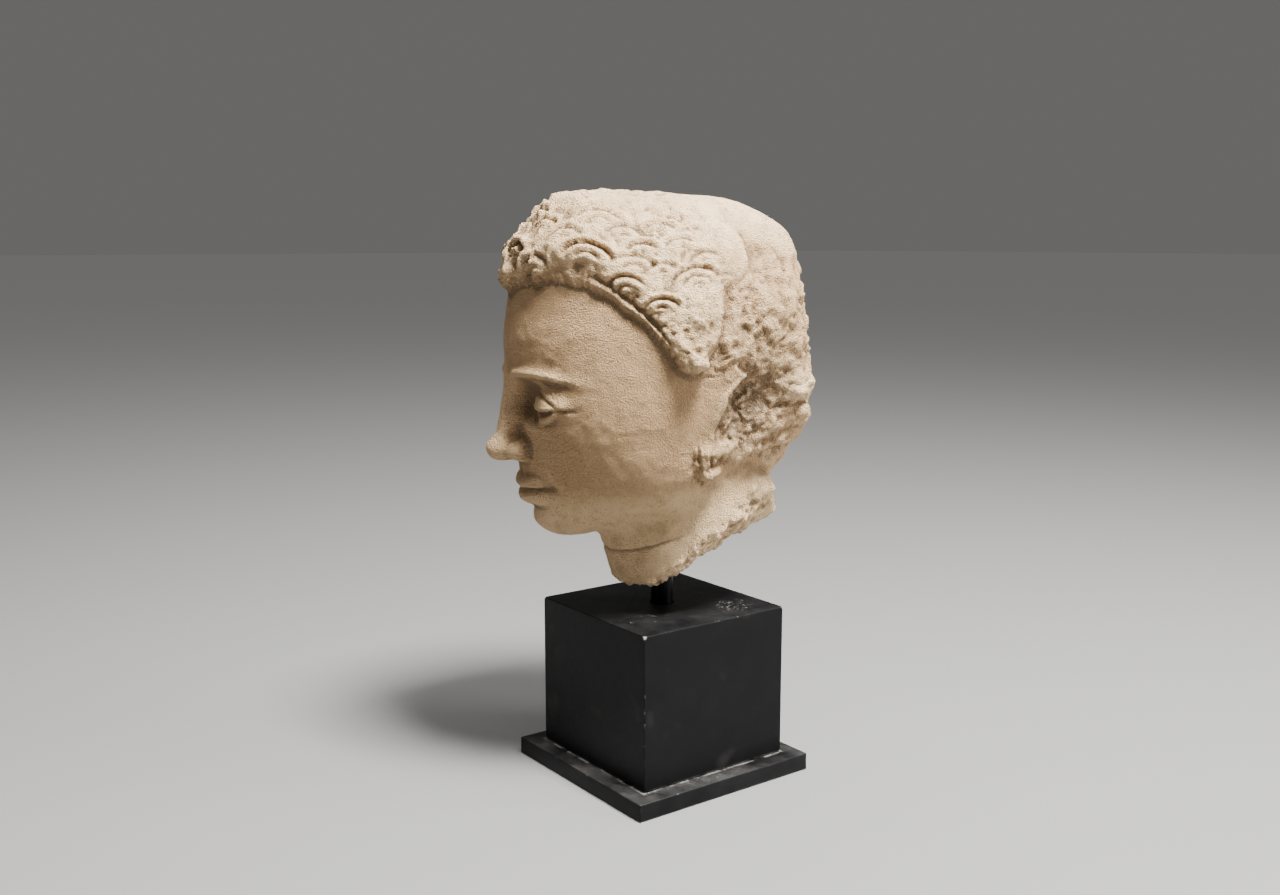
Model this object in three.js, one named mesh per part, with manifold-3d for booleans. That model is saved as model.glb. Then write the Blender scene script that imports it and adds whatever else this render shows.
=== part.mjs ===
// A broken-off stucco head with crescent-curled hair, carried by a steel post on a black stepped
// display plinth. Millimetres, +Z up. The origin is the middle of the plinth's underside, -Y is the
// plinth's front, and the head looks past it towards -X.
import * as THREE from "three";
import { mergeVertices } from "three/addons/utils/BufferGeometryUtils.js";
import Module from "manifold-3d";

// Plinth and post, in millimetres
const blockSide = 100;
const blockHeight = 88;
const slabOverhang = 11;
const slabThickness = 10;
const edgeChamfer = 0.8;
const postDiameter = 13;
const postShowing = 27; // from the block's top to the broken neck, on the post's axis
const postInBlock = 25;
const postInNeck = 38;
const postClearance = 0.4; // all round the post in its two sockets, and under its foot
const jointGap = 0.3; // between faces that touch

// Head, in millimetres and degrees
const headHeight = 190; // chin to crown
const headBow = 7; // the face is lowered
const headTurn = -18.5; // about the post, away from the plinth's front

// The head is carved in parts of its own height. From chin to crown there are four equal quarters:
// chin, base of the nose, brow, hairline and crown. In the head's frame x runs to its left, y to its
// back and z up.
const quarter = 45.5;
const part = headHeight / (4 * quarter);
const chinLevel = -66;
const noseBaseLevel = chinLevel + quarter;
const browLevel = noseBaseLevel + quarter;
const crownLevel = chinLevel + 4 * quarter;
const mouthLevel = noseBaseLevel - quarter / 3;
const eyeLevel = browLevel - quarter / 3;

// Widths of the face: five eyes across the head, one of them between the eyes
const eyeWidth = 26;
const eyeMiddle = eyeWidth;
const mouthHalf = 0.8 * eyeWidth;

const clamp = (v, low, high) => Math.min(Math.max(v, low), high);
const ease = (low, high, v) => {
  const t = clamp((v - low) / (high - low), 0, 1);
  return t * t * (3 - 2 * t);
};
const bell = (v, spread) => Math.exp(-((v / spread) ** 2));
const mix = (a, b, t) => a + (b - a) * t;

// Straight stretches between [at, value] pairs in rising order
function track(pairs, at) {
  const last = pairs.length - 1;
  if (at <= pairs[0][0]) return pairs[0][1];
  for (let i = 0; i < last; i++) {
    const [a, va] = pairs[i];
    const [b, vb] = pairs[i + 1];
    if (at <= b) return mix(va, vb, (at - a) / (b - a));
  }
  return pairs[last][1];
}

// Fields are below zero inside a form, and about the distance to it outside
function joined(a, b, blend) {
  const h = Math.max(blend - Math.abs(a - b), 0) / blend;
  return Math.min(a, b) - (h * h * blend) / 4;
}
const common = (a, b, blend) => -joined(-a, -b, blend);
const without = (a, b, blend) => common(a, -b, blend);

function egg(x, y, z, [cx, cy, cz], [rx, ry, rz]) {
  const [dx, dy, dz] = [x - cx, y - cy, z - cz];
  const near = Math.hypot(dx / rx, dy / ry, dz / rz);
  const steep = Math.hypot(dx / rx ** 2, dy / ry ** 2, dz / rz ** 2);
  return (near * (near - 1)) / Math.max(steep, 1e-9);
}

// A rod with round ends whose radius changes from end to end
function rod(x, y, z, [ax, ay, az], [bx, by, bz], ra, rb) {
  const [ex, ey, ez] = [bx - ax, by - ay, bz - az];
  const along = (x - ax) * ex + (y - ay) * ey + (z - az) * ez;
  const t = clamp(along / (ex * ex + ey * ey + ez * ez), 0, 1);
  return Math.hypot(x - ax - ex * t, y - ay - ey * t, z - az - ez * t) - mix(ra, rb, t);
}

// Smooth noise from -1 to 1 on a lattice of one part
function latticeValue(i, j, k) {
  let h = Math.imul(i, 374761393) ^ Math.imul(j, 668265263) ^ Math.imul(k, 1274126177);
  h = Math.imul(h ^ (h >>> 13), 1103515245);
  return ((h ^ (h >>> 16)) >>> 0) / 2147483648 - 1;
}
function noise(x, y, z) {
  const [i, j, k] = [Math.floor(x), Math.floor(y), Math.floor(z)];
  const [u, v, w] = [ease(0, 1, x - i), ease(0, 1, y - j), ease(0, 1, z - k)];
  const level = (dk) => {
    const row = (dj) => mix(latticeValue(i, j + dj, k + dk), latticeValue(i + 1, j + dj, k + dk), u);
    return mix(row(0), row(1), v);
  };
  return mix(level(0), level(1), w);
}
function rubble(x, y, z, size, octaves) {
  let sum = 0;
  for (let o = 0; o < octaves; o++) {
    const grain = size / 2 ** o;
    sum += noise(x / grain + 7.3 * o, y / grain, z / grain - 3.1 * o) / 2 ** o;
  }
  return sum;
}

// Skull, face and jaw as they were before hair was laid on, with the rise over the brow that carries
// the front of the hair
function headMass(x, y, z) {
  let d = egg(x, y, z, [0, 4, 34], [66, 88, 78]);
  d = joined(d, egg(x, y, z, [0, -36, 76], [46, 36, 34]), 14);
  d = joined(d, egg(x, y, z, [0, 34, -6], [50, 50, 46]), 16);
  d = joined(d, egg(x, y, z, [0, 22, 40], [62, 74, 66]), 14);
  d = joined(d, egg(x, y, z, [0, -18, -6], [59, 64, 58]), 16);
  d = joined(d, egg(x, y, z, [0, -16, -28], [53, 52, 36]), 12);
  d = joined(d, egg(x, y, z, [0, -53, -29], [27, 30, 27]), 14);
  return joined(d, egg(x, y, z, [0, -60, chinLevel + 15], [18, 21, 15]), 12);
}

// The neck leans forward, with a shallow ring cut round its front
function neckMass(x, y, z) {
  const sway = 6 - 0.16 * (z + 70);
  const near = Math.hypot(x / 44, (y - sway) / 51);
  const ring = 1.4 * bell(z + 77 - 0.3 * (y + 40), 1.8) * (1 - ease(-25, 5, y));
  return common((near - 1) * 44 + ring, z + 8 + 0.5 * y, 24);
}

// A straight nose that grows out of the brow, with small wings and nostrils
function nose(d, x, y, z) {
  const base = noseBaseLevel;
  const side = Math.abs(x);
  let made = joined(d, rod(x, y, z, [0, -79, browLevel + 2], [0, -91, base + 9], 5, 6.2), 8);
  made = joined(made, egg(x, y, z, [0, -92.5, base + 8], [7.2, 9, 7]), 4);
  made = joined(made, egg(side, y, z, [9.2, -84, base + 6.3], [5.4, 8.5, 5.8]), 3);
  return without(made, egg(side, y, z, [4.8, -90, base], [2.6, 5, 2.2]), 1.5);
}

// Closed lips on a nearly level line, over a rounded chin
function mouth(d, x, y, z) {
  const side = Math.abs(x);
  const within = 1 - ease(mouthHalf - 9, mouthHalf + 1, side);
  const up = z - mouthLevel - 0.0012 * side * side + 0.9 * bell(side, 5);
  const upper = 3.6 * within * bell(up - 3, 3) * (1 - 0.2 * bell(side, 2.6));
  const lower = 4.2 * within ** 1.4 * bell(up + 4.2, 3.6);
  const seam = 2.4 * (1 - ease(mouthHalf - 4, mouthHalf + 1, side)) * bell(up, 1);
  const philtrum = 1.1 * bell(side, 2.8) * bell(z - mouthLevel - 10, 4.5);
  const furrow = 2.6 * bell(side, 13) * bell(up + 12, 4);
  const corner = 1.5 * bell(side - mouthHalf, 3.5) * bell(up, 3.5);
  return d - upper - lower + seam + philtrum + furrow + corner;
}

// A socket under a clean arched brow, the ball of the eye, and two lids that nearly close over it
function eye(d, x, y, z) {
  const side = Math.abs(x);
  const across = (side - eyeMiddle) / (eyeWidth / 2);
  const arch = browLevel + 1.5 - 0.0085 * (side - 20) ** 2;
  const ridge = 1.5 * bell(z - arch - 1.5, 2.6) * ease(4, 12, side) * (1 - ease(36, 52, side));
  const socket = egg(side, y, z, [eyeMiddle - 3, -88, eyeLevel + 2], [25, 17.5, 13.5]);
  let made = without(d - ridge, socket, 3);
  const ball = [eyeMiddle, -61.5, eyeLevel];
  made = joined(made, egg(side, y, z, ball, [15.5, 14, 11.5]), 3);
  const lid = egg(side, y, z, ball, [17, 16, 13.4]);
  const upperEdge = eyeLevel - 2.6 + 1.6 * across * across - 0.6 * across;
  const lowerEdge = eyeLevel - 6.4 + 5.4 * across * across - 0.6 * across;
  made = joined(made, common(lid, upperEdge - z, 1), 1.5);
  return joined(made, common(lid, z - lowerEdge, 1), 2);
}

// How far round the head a point lies, in degrees from the face's middle
const bearing = (x, y) => (Math.atan2(Math.abs(x), -y) * 180) / Math.PI;

// The lower edge of the hair by bearing: an arch over the brow, a lobe before the ear, then the
// broken edge that climbs to the crown
const hairEdgeStops = [
  [0, 70], [20, 73.5], [31, 74.5], [44, 70], [54, 62.5], [67, 48], [76, 33], [80, 23],
  [85, 19.5], [90, 23], [97, 32], [103, 57], [118, 68], [122, 84], [139, 71], [180, 66],
];
const hairEdge = (around) => track(hairEdgeStops, around);

// The front edge, by level, of the surface bared where the ear and the hair behind it are lost
const breakEdgeStops = [
  [-52, 112], [-38, 95], [-13, 94], [5, 101], [14, 110], [25, 101], [33, 98], [57, 103], [70, 118],
];
const breakEdge = (z) => track(breakEdgeStops, z);

// Rows of crescent locks about the crown: each is a raised arch over a hollow, with a smaller inside
const lockRow = 14.5;
const lockWidth = 23;
const hairRadius = 82;
function locks(x, y, z) {
  const away = Math.acos(clamp((z - 30) / Math.hypot(x, y, z - 30), -1, 1));
  const fromCrown = hairRadius * away;
  const row = Math.round(fromCrown / lockRow);
  const girth = hairRadius * Math.max(Math.sin((row * lockRow) / hairRadius), 0.2);
  const step = Math.PI / Math.max(2, Math.round((Math.PI * girth) / lockWidth));
  const turns = Math.atan2(x, -y) / step + 0.5 * (row % 2);
  const across = (turns - Math.round(turns)) * step * girth;
  const jog = latticeValue(Math.round(turns), row, 5);
  const down = fromCrown - row * lockRow - 1.5 * jog;
  const arch = (radius) => {
    const out = Math.hypot(across, down - 4.5) - radius;
    const shown = 1 - ease(1.5, 6, down);
    return shown * (bell(out - 0.8, 2) - 0.9 * bell(out + 3.4, 2.4));
  };
  return 1.7 * arch(9.5 + jog) + 0.9 * arch(4);
}

// Where the cap of hair lies: 0 below its edge and 1 above, softly so where the crown is worn
function hairLap(x, y, z) {
  const around = bearing(x, y);
  const soft = 1.4 + 6 * ease(112, 126, around);
  return ease(-soft, soft, z - hairEdge(around));
}

function hair(x, y, z) {
  const around = bearing(x, y);
  const above = z - hairEdge(around);
  const worn = 1 - ease(95, 125, around) * ease(60, 85, z);
  const relief = ease(4, 9, above) * worn * locks(x, y, z);
  const band = 0.9 * bell(above - 6, 1.8) * (1 - ease(70, 84, around));
  const curls = 1.6 * (1 - ease(24, 40, around)) * noise(x / 6, y / 6, z / 6);
  const lobe = 3 * bell(around - 86, 7) * bell(z - 25, 7);
  const lip = 3 * bell(x + 4, 7) * bell(above - 5, 6);
  const full = 3.4 + 2.2 * ease(0, 18, above) * (1 - ease(106, 122, around));
  const thinned = 1.6 * ease(110, 126, around);
  return hairLap(x, y, z) * (full - thinned + relief + curls + lobe + lip - band);
}

// What is gone, or stands proud, on the bared side: a hollow for the ear behind a thin ridge, with
// two lumps under it
function sideLoss(x, y, z) {
  const around = bearing(x, y);
  const behind = around - breakEdge(z);
  const bared = ease(-1, 2.5, behind) * ease(-40, -28, z - 0.1 * y);
  const hollow = 6 * bell(around - 113, 13) * bell(z + 4, 17);
  const ridge = 1.7 * bell(behind - 0.5, 4) * bell(z - 1, 15);
  const lumps = 2.6 * bell(around - 93, 7) * (bell(z + 24, 6) + bell(z + 35, 5));
  return [bared, bared * hollow - ridge - lumps];
}

// The neck's lower break climbs from throat to nape
const neckBreak = (y) => -96 + 0.24 * (y + 40);
const neckSpare = 14; // left below the break, to be cut off

// Two slanting breaks take off the neck's corner behind the post: a point on each, and the way it faces
const neckChips = [
  [[31, 49, -39.4], [0.76, 0.56, -0.33]],
  [[42.6, 18, -65], [0.6, 0.34, -0.72]],
];
function chipped(d, x, y, z, rough) {
  if (z > -30) return d;
  for (const [[px, py, pz], [nx, ny, nz]] of neckChips) {
    d = common(d, (x - px) * nx + (y - py) * ny + (z - pz) * nz + rough, 1.2);
  }
  return d;
}

function carvedHead(x, y, z) {
  const crag = rubble(x, y, z, 24, 3);
  let d = headMass(x, y, z);
  if (y < -40) d = nose(mouth(eye(d, x, y, z), x, y, z), x, y, z);
  const [bared, loss] = sideLoss(x, y, z);
  const bare = bared * (1 - hairLap(x, y, z));
  d += loss + bare * (0.5 + 2 * crag) - hair(x, y, z);
  d = common(d, z - crownLevel + 0.17 * (y + 30) + 0.6 * crag, 10);
  d = common(d, (y - 54) * 0.66 + (z - 99.5) * 0.75 + 0.6 * crag, 12);
  d = common(d, y - 79 + 2.5 * crag, 12);
  d = common(d, x * 0.31 + y * 0.95 - 78.5 + 2.5 * crag, 8);
  d = common(d, (y - 78) * 0.8 - (z + 24) * 0.6 + 2.5 * crag, 8);
  const nape = ease(34, 46, y) * 2.5 * crag;
  d = joined(d, neckMass(x, y, z) + nape, 7);
  d = common(d, y - 54 + 2 * crag - Math.max(z + 44, 0), 4);
  d = chipped(d, x, y, z, 1.3 * crag);
  return common(d, neckBreak(y) - neckSpare - z, 2.5);
}

// Directions crowd together where the weight is high
function spacing(count, span, weight) {
  const fine = 720;
  const sums = [0];
  for (let i = 0; i < fine; i++) sums.push(sums[i] + weight((span * (i + 0.5)) / fine));
  const steps = [];
  let at = 0;
  for (let n = 0; n <= count; n++) {
    const wanted = (sums[fine] * n) / count;
    while (at < fine - 1 && sums[at + 1] < wanted) at++;
    steps.push((span * (at + (wanted - sums[at]) / (sums[at + 1] - sums[at]))) / fine);
  }
  return steps;
}

// The head's surface is found along lines that spread from a point inside it. From crown to cheek
// they tilt downwards, then the point sinks through the neck, and last they close underneath.
const rows = 60;
const widestRow = 89;
const heart = [0, -8, 6];
const lowestHeart = -80;
const tilted = 115; // degrees from straight up
const sunk = tilted + 50;
const travel = sunk + 12;
const farthest = 150;
const safeShare = 0.5; // of a field's value, when stepping inwards

function lineAt(angle, way) {
  const closing = (Math.max(way - sunk, 0) * (180 - tilted)) / (travel - sunk);
  const fall = ((Math.min(way, tilted) + closing) * Math.PI) / 180;
  const sink = clamp((way - tilted) / (sunk - tilted), 0, 1);
  const turn = (angle * Math.PI) / 180;
  const from = [heart[0], heart[1], mix(heart[2], lowestHeart, sink)];
  const [out, up] = [Math.sin(fall), Math.cos(fall)];
  return (r) => [from[0] + r * Math.sin(turn) * out, from[1] - r * Math.cos(turn) * out, from[2] + r * up];
}

function surfacePoint(angle, way) {
  const at = lineAt(angle, way);
  let inner = farthest;
  let outer = farthest;
  for (let d = carvedHead(...at(inner)); d > 0; d = carvedHead(...at(inner))) {
    outer = inner;
    inner -= Math.max(safeShare * d, 0.4);
  }
  for (let i = 0; i < 12; i++) {
    const middle = (inner + outer) / 2;
    if (carvedHead(...at(middle)) > 0) outer = middle;
    else inner = middle;
  }
  return at(inner);
}

function headSurface() {
  const ways = spacing(rows, travel, (t) => 0.45 + 1.1 * bell(t - 106, 24) + 0.8 * bell(t - 60, 24));
  const fromFront = (a) => Math.min(a, 360 - a);
  const sideways = (a, t) => {
    const face = ease(70, 88, t) * (1 - ease(135, 150, t));
    return 0.55 + 0.9 * bell(fromFront(a), 88) + 0.9 * face * bell(fromFront(a), 32);
  };
  const rowWidth = (t) => Math.sin((Math.min(t, 90) * Math.PI) / 180) * (1 - 0.4 * ease(tilted, 150, t));
  const positions = [...surfacePoint(0, 0)];
  const index = [];
  const face = (a, b, c) => {
    if (a !== b && b !== c && c !== a) index.push(a, b, c);
  };
  let above = [0];
  let aboveAngles = [0, 360];
  for (let r = 1; r <= rows; r++) {
    const count = r < rows ? Math.max(8, Math.round(widestRow * rowWidth(ways[r]) ** 0.8)) : 1;
    const angles = spacing(count, 360, (a) => sideways(a, ways[r]));
    const ring = angles.slice(0, count).map((angle) => {
      positions.push(...surfacePoint(angle, ways[r]));
      return positions.length / 3 - 1;
    });
    let [i, j] = [0, 0];
    while (i < above.length || j < count) {
      const step = aboveAngles[i + 1] ?? Infinity;
      const [a, b] = [above[i % above.length], ring[j % count]];
      if (j < count && angles[j + 1] <= step) face(a, b, ring[++j % count]);
      else face(a, b, above[++i % above.length]);
    }
    [above, aboveAngles] = [ring, angles];
  }
  const surface = new THREE.BufferGeometry();
  surface.setAttribute("position", new THREE.Float32BufferAttribute(positions, 3));
  surface.setIndex(index);
  return surface.scale(part, part, part);
}

// What lies below the neck's broken face: a block with a craggy top
function belowNeck() {
  const [half, cells, deep] = [70, 20, 40];
  const box = new THREE.BoxGeometry(2 * half, 2 * half, deep, cells, cells, 1);
  const at = box.attributes.position;
  for (let i = 0; i < at.count; i++) {
    const [x, y] = [at.getX(i), at.getY(i)];
    const top = neckBreak(y) + 2.4 * rubble(x, y, 0, 22, 3) - 0.05 * Math.abs(x);
    at.setZ(i, at.getZ(i) > 0 ? top : neckBreak(y) - 2 * deep);
  }
  return box.scale(part, part, part);
}

const wasm = await Module();
wasm.setup();

function solidFrom(geometry) {
  const bare = geometry.clone();
  bare.deleteAttribute("normal");
  bare.deleteAttribute("uv");
  const merged = mergeVertices(bare, 1e-4);
  return new wasm.Manifold(
    new wasm.Mesh({
      numProp: 3,
      vertProperties: merged.attributes.position.array,
      triVerts: new Uint32Array(merged.index.array),
    }),
  );
}

function geometryFrom(solid) {
  const mesh = solid.getMesh();
  const geometry = new THREE.BufferGeometry();
  geometry.setAttribute("position", new THREE.BufferAttribute(mesh.vertProperties, 3));
  geometry.setIndex(new THREE.BufferAttribute(mesh.triVerts, 1));
  return geometry;
}

// A square board with a small chamfer on every edge, standing on z = bottom
function board(side, bottom, height) {
  const half = side / 2 - edgeChamfer;
  const outline = new THREE.Shape();
  outline.moveTo(half, -half - edgeChamfer);
  outline.lineTo(half + edgeChamfer, -half);
  outline.lineTo(half + edgeChamfer, half);
  outline.lineTo(half, half + edgeChamfer);
  outline.lineTo(-half, half + edgeChamfer);
  outline.lineTo(-half - edgeChamfer, half);
  outline.lineTo(-half - edgeChamfer, -half);
  outline.lineTo(-half, -half - edgeChamfer);
  outline.closePath();
  const geometry = new THREE.ExtrudeGeometry(outline, {
    depth: height - 2 * edgeChamfer,
    bevelThickness: edgeChamfer,
    bevelSize: edgeChamfer,
    bevelOffset: -edgeChamfer,
    bevelSegments: 1,
  });
  return geometry.translate(0, 0, bottom + edgeChamfer);
}

// A round bar on the post's axis
function bar(diameter, bottom, top) {
  const geometry = new THREE.CylinderGeometry(diameter / 2, diameter / 2, top - bottom, 32);
  return geometry.rotateX(Math.PI / 2).translate(0, 0, (bottom + top) / 2);
}

const blackPaint = () => new THREE.MeshStandardMaterial({ color: 0x0b0b0c, roughness: 0.55 });
const blackSteel = () =>
  new THREE.MeshStandardMaterial({ color: 0x0d0d0e, roughness: 0.45, metalness: 0.6 });
const stucco = () =>
  new THREE.MeshStandardMaterial({ color: 0xc9b394, roughness: 0.95, flatShading: true });

function named(name, geometry, material) {
  const mesh = new THREE.Mesh(geometry, material);
  mesh.name = name;
  return mesh;
}

const object = new THREE.Group();

const blockBottom = slabThickness + jointGap;
const blockTop = blockBottom + blockHeight;
const slabSide = blockSide + 2 * slabOverhang;
object.add(named("plinth_slab", board(slabSide, 0, slabThickness), blackPaint()));

const socketDiameter = postDiameter + 2 * postClearance;
const postFoot = blockTop - postInBlock;
const blockSocket = bar(socketDiameter, postFoot - postClearance, blockTop + blockHeight);
const block = solidFrom(board(blockSide, blockBottom, blockHeight)).subtract(solidFrom(blockSocket));
object.add(named("plinth_block", geometryFrom(block), blackPaint()));

const neckAtPost = blockTop + postShowing;
const postHead = neckAtPost + postInNeck;
object.add(named("mount_post", bar(postDiameter, postFoot, postHead), blackSteel()));

// The head turns and bows about the point where the post meets the broken neck
const bow = THREE.MathUtils.degToRad(headBow);
const turn = THREE.MathUtils.degToRad(headTurn);
const meetsPost = [0, -12, neckBreak(-12)];
const stance = new THREE.Group();
stance.position.set(0, 0, neckAtPost);
stance.rotation.set(bow, 0, turn, "ZYX");
const head = named("stucco_head", headSurface(), stucco());
head.position.set(...meetsPost.map((v) => -v * part));
stance.add(head);
object.add(stance);

object.updateMatrixWorld(true);
const neckSocket = bar(socketDiameter, neckAtPost - headHeight / 4, postHead + postClearance);
neckSocket.applyMatrix4(head.matrixWorld.clone().invert());
const carved = solidFrom(head.geometry).subtract(solidFrom(belowNeck()));
head.geometry = geometryFrom(carved.subtract(solidFrom(neckSocket)));

export default object;
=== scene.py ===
import math

import bpy
import numpy as np
from bpy.props import FloatProperty, FloatVectorProperty, IntProperty, PointerProperty
from bpy.types import Operator, Panel, PropertyGroup
from mathutils import Euler, Matrix, Vector


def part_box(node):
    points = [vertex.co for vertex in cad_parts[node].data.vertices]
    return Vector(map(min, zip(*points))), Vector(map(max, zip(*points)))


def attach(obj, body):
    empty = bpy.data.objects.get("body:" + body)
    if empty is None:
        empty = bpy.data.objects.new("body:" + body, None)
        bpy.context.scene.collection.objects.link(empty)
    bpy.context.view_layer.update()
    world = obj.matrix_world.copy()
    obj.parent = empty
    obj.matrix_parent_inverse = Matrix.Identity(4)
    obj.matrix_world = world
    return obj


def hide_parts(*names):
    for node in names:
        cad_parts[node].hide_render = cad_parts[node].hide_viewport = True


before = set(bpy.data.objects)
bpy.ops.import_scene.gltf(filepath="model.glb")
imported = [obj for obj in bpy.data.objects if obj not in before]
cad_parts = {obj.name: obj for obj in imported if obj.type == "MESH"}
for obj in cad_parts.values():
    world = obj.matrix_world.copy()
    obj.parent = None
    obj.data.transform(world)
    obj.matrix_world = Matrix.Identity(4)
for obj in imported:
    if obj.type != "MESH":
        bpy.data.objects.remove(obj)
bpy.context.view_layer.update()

bl_info = {
    "name": "Stucco head on a display plinth",
    "version": (1, 0, 0),
    "blender": (4, 5, 0),
    "location": "3D View > Sidebar > Stucco Head",
    "description": "A broken-off stucco head with crescent curls, on a steel post and a black plinth",
    "category": "Object",
}

MM = 0.001

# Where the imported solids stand, in metres
BLOCK_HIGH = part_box("plinth_block")[1]
POST_LOW, POST_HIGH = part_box("mount_post")
POST_SHOWING = 27 * MM
NECK_AT_POST = BLOCK_HIGH[2] + POST_SHOWING
SOCKET_CLEARANCE = 0.4 * MM
# Middles of the scoured and the scuffed patch on the block's top
SCOURED = (30 * MM, 29 * MM, BLOCK_HIGH[2])
SCUFFED = (16 * MM, -17 * MM, BLOCK_HIGH[2])

# The head is carved in parts of its own height: four equal quarters from chin to crown. In its
# frame x runs to its left, y to its back and z up.
QUARTER = 45.5
CHIN = -66
NOSE_BASE = CHIN + QUARTER
BROW = NOSE_BASE + QUARTER
CROWN = CHIN + 4 * QUARTER
MOUTH = NOSE_BASE - QUARTER / 3
EYE = BROW - QUARTER / 3
EYE_WIDTH = 26
EYE_MIDDLE = EYE_WIDTH
MOUTH_HALF = 0.8 * EYE_WIDTH
POST_MEETS_NECK_Y = -12
# The neck's broken back, which leans outwards above a level
NECK_BACK = 54
LEAN_LEVEL = -44

# Places on the head, each as bearing, level, and how far it spreads round and up. A bearing is
# counted in degrees from the face's middle, and a level in parts.
LOBE = (86, 25, 7, 7)
LOBE_KNOBS = (84, 27, 8, 9)
LOBE_FRONT = (85, 29, 9, 10)
LOBE_TOP = (90, 46, 11, 12)
BEHIND_LOBE = (99, 22, 8, 9)
EAR_CUT = (113, -4, 13, 17)
EAR_RUBBLE = (115, -3, 16, 18)
EAR_DARKENING = (115, -2, 18, 25)
JAW_CHIPS = (90, -29, 9, 10)
PALE_LUMP = (141, 1, 9, 7)
NAPE_BULGE = (150, -52, 10, 9)
NAPE_STAIN = (125, -50, 16, 13)
CROWN_STAIN = (56, 109, 12, 6)


def ease(low, high, v):
    t = np.clip((v - low) / (high - low), 0, 1)
    return t * t * (3 - 2 * t)


def bell(v, spread):
    return np.exp(-((v / spread) ** 2))


def mix(a, b, t):
    return a + (b - a) * t


# Fields are below zero inside a form, and about the distance to it outside
def joined(a, b, blend):
    h = np.maximum(blend - np.abs(a - b), 0) / blend
    return np.minimum(a, b) - h * h * blend / 4


def common(a, b, blend):
    return -joined(-a, -b, blend)


def without(a, b, blend):
    return common(a, -b, blend)


def egg(x, y, z, centre, reach):
    dx, dy, dz = x - centre[0], y - centre[1], z - centre[2]
    near = np.sqrt((dx / reach[0]) ** 2 + (dy / reach[1]) ** 2 + (dz / reach[2]) ** 2)
    steep = np.sqrt((dx / reach[0] ** 2) ** 2 + (dy / reach[1] ** 2) ** 2 + (dz / reach[2] ** 2) ** 2)
    return near * (near - 1) / np.maximum(steep, 1e-9)


def rod(x, y, z, a, b, radius_a, radius_b):
    """A rod with round ends whose radius changes from end to end."""
    ex, ey, ez = (b[i] - a[i] for i in range(3))
    dx, dy, dz = x - a[0], y - a[1], z - a[2]
    t = np.clip((dx * ex + dy * ey + dz * ez) / (ex * ex + ey * ey + ez * ez), 0, 1)
    gap = np.sqrt((dx - ex * t) ** 2 + (dy - ey * t) ** 2 + (dz - ez * t) ** 2)
    return gap - mix(radius_a, radius_b, t)


def lattice_value(i, j, k):
    i, j, k = (np.asarray(n).astype(np.int64).astype(np.uint32) for n in (i, j, k))
    h = i * np.uint32(374761393) ^ j * np.uint32(668265263) ^ k * np.uint32(1274126177)
    h = (h ^ (h >> np.uint32(13))) * np.uint32(1103515245)
    return (h ^ (h >> np.uint32(16))) / 2147483648.0 - 1


def noise(x, y, z):
    """Smooth noise from -1 to 1 on a lattice of one part."""
    i, j, k = np.floor(x), np.floor(y), np.floor(z)
    u, v, w = ease(0, 1, x - i), ease(0, 1, y - j), ease(0, 1, z - k)

    def row(dj, dk):
        return mix(lattice_value(i, j + dj, k + dk), lattice_value(i + 1, j + dj, k + dk), u)

    return mix(mix(row(0, 0), row(1, 0), v), mix(row(0, 1), row(1, 1), v), w)


def rubble(x, y, z, size, octaves, fade=0.5):
    total = 0
    for o in range(octaves):
        grain = size / 2**o
        total = total + noise(x / grain + 7.3 * o, y / grain, z / grain - 3.1 * o) * fade**o
    return total


def head_mass(x, y, z):
    """Skull, face and jaw before hair was laid on, with the rise that carries the hair's front."""
    d = egg(x, y, z, (0, 4, 34), (66, 88, 78))
    d = joined(d, egg(x, y, z, (0, -36, 76), (46, 36, 34)), 14)
    d = joined(d, egg(x, y, z, (0, 34, -6), (50, 50, 46)), 16)
    d = joined(d, egg(x, y, z, (0, 22, 40), (62, 74, 66)), 14)
    d = joined(d, egg(x, y, z, (0, -18, -6), (59, 64, 58)), 16)
    d = joined(d, egg(x, y, z, (0, -16, -28), (53, 52, 36)), 12)
    d = joined(d, egg(x, y, z, (0, -53, -29), (27, 30, 27)), 14)
    return joined(d, egg(x, y, z, (0, -60, CHIN + 15), (18, 21, 15)), 12)


def neck_ring(y, z, depth, spread):
    """The shallow ring round the neck's front."""
    return depth * bell(z + 77 - 0.3 * (y + 40), spread) * (1 - ease(-25, 5, y))


def neck_mass(x, y, z):
    """The neck leans forward, with a ring cut into it."""
    sway = 6 - 0.16 * (z + 70)
    near = np.hypot(x / 44, (y - sway) / 51)
    return common((near - 1) * 44 + neck_ring(y, z, 1.4, 1.8), z + 8 + 0.5 * y, 24)


def nose(d, x, y, z):
    """A straight nose that grows out of the brow, with small wings and nostrils."""
    side = np.abs(x)
    made = joined(d, rod(x, y, z, (0, -79, BROW + 2), (0, -91, NOSE_BASE + 9), 5, 6.2), 8)
    made = joined(made, egg(x, y, z, (0, -92.5, NOSE_BASE + 8), (7.2, 9, 7)), 4)
    made = joined(made, egg(side, y, z, (9.2, -84, NOSE_BASE + 6.3), (5.4, 8.5, 5.8)), 3)
    return without(made, egg(side, y, z, (4.8, -90, NOSE_BASE), (2.6, 5, 2.2)), 1.5)


def above_lips(side, z):
    """Height above the line between the lips, which dips a little in the middle."""
    return z - MOUTH - 0.0012 * side * side + 0.9 * bell(side, 5)


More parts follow.
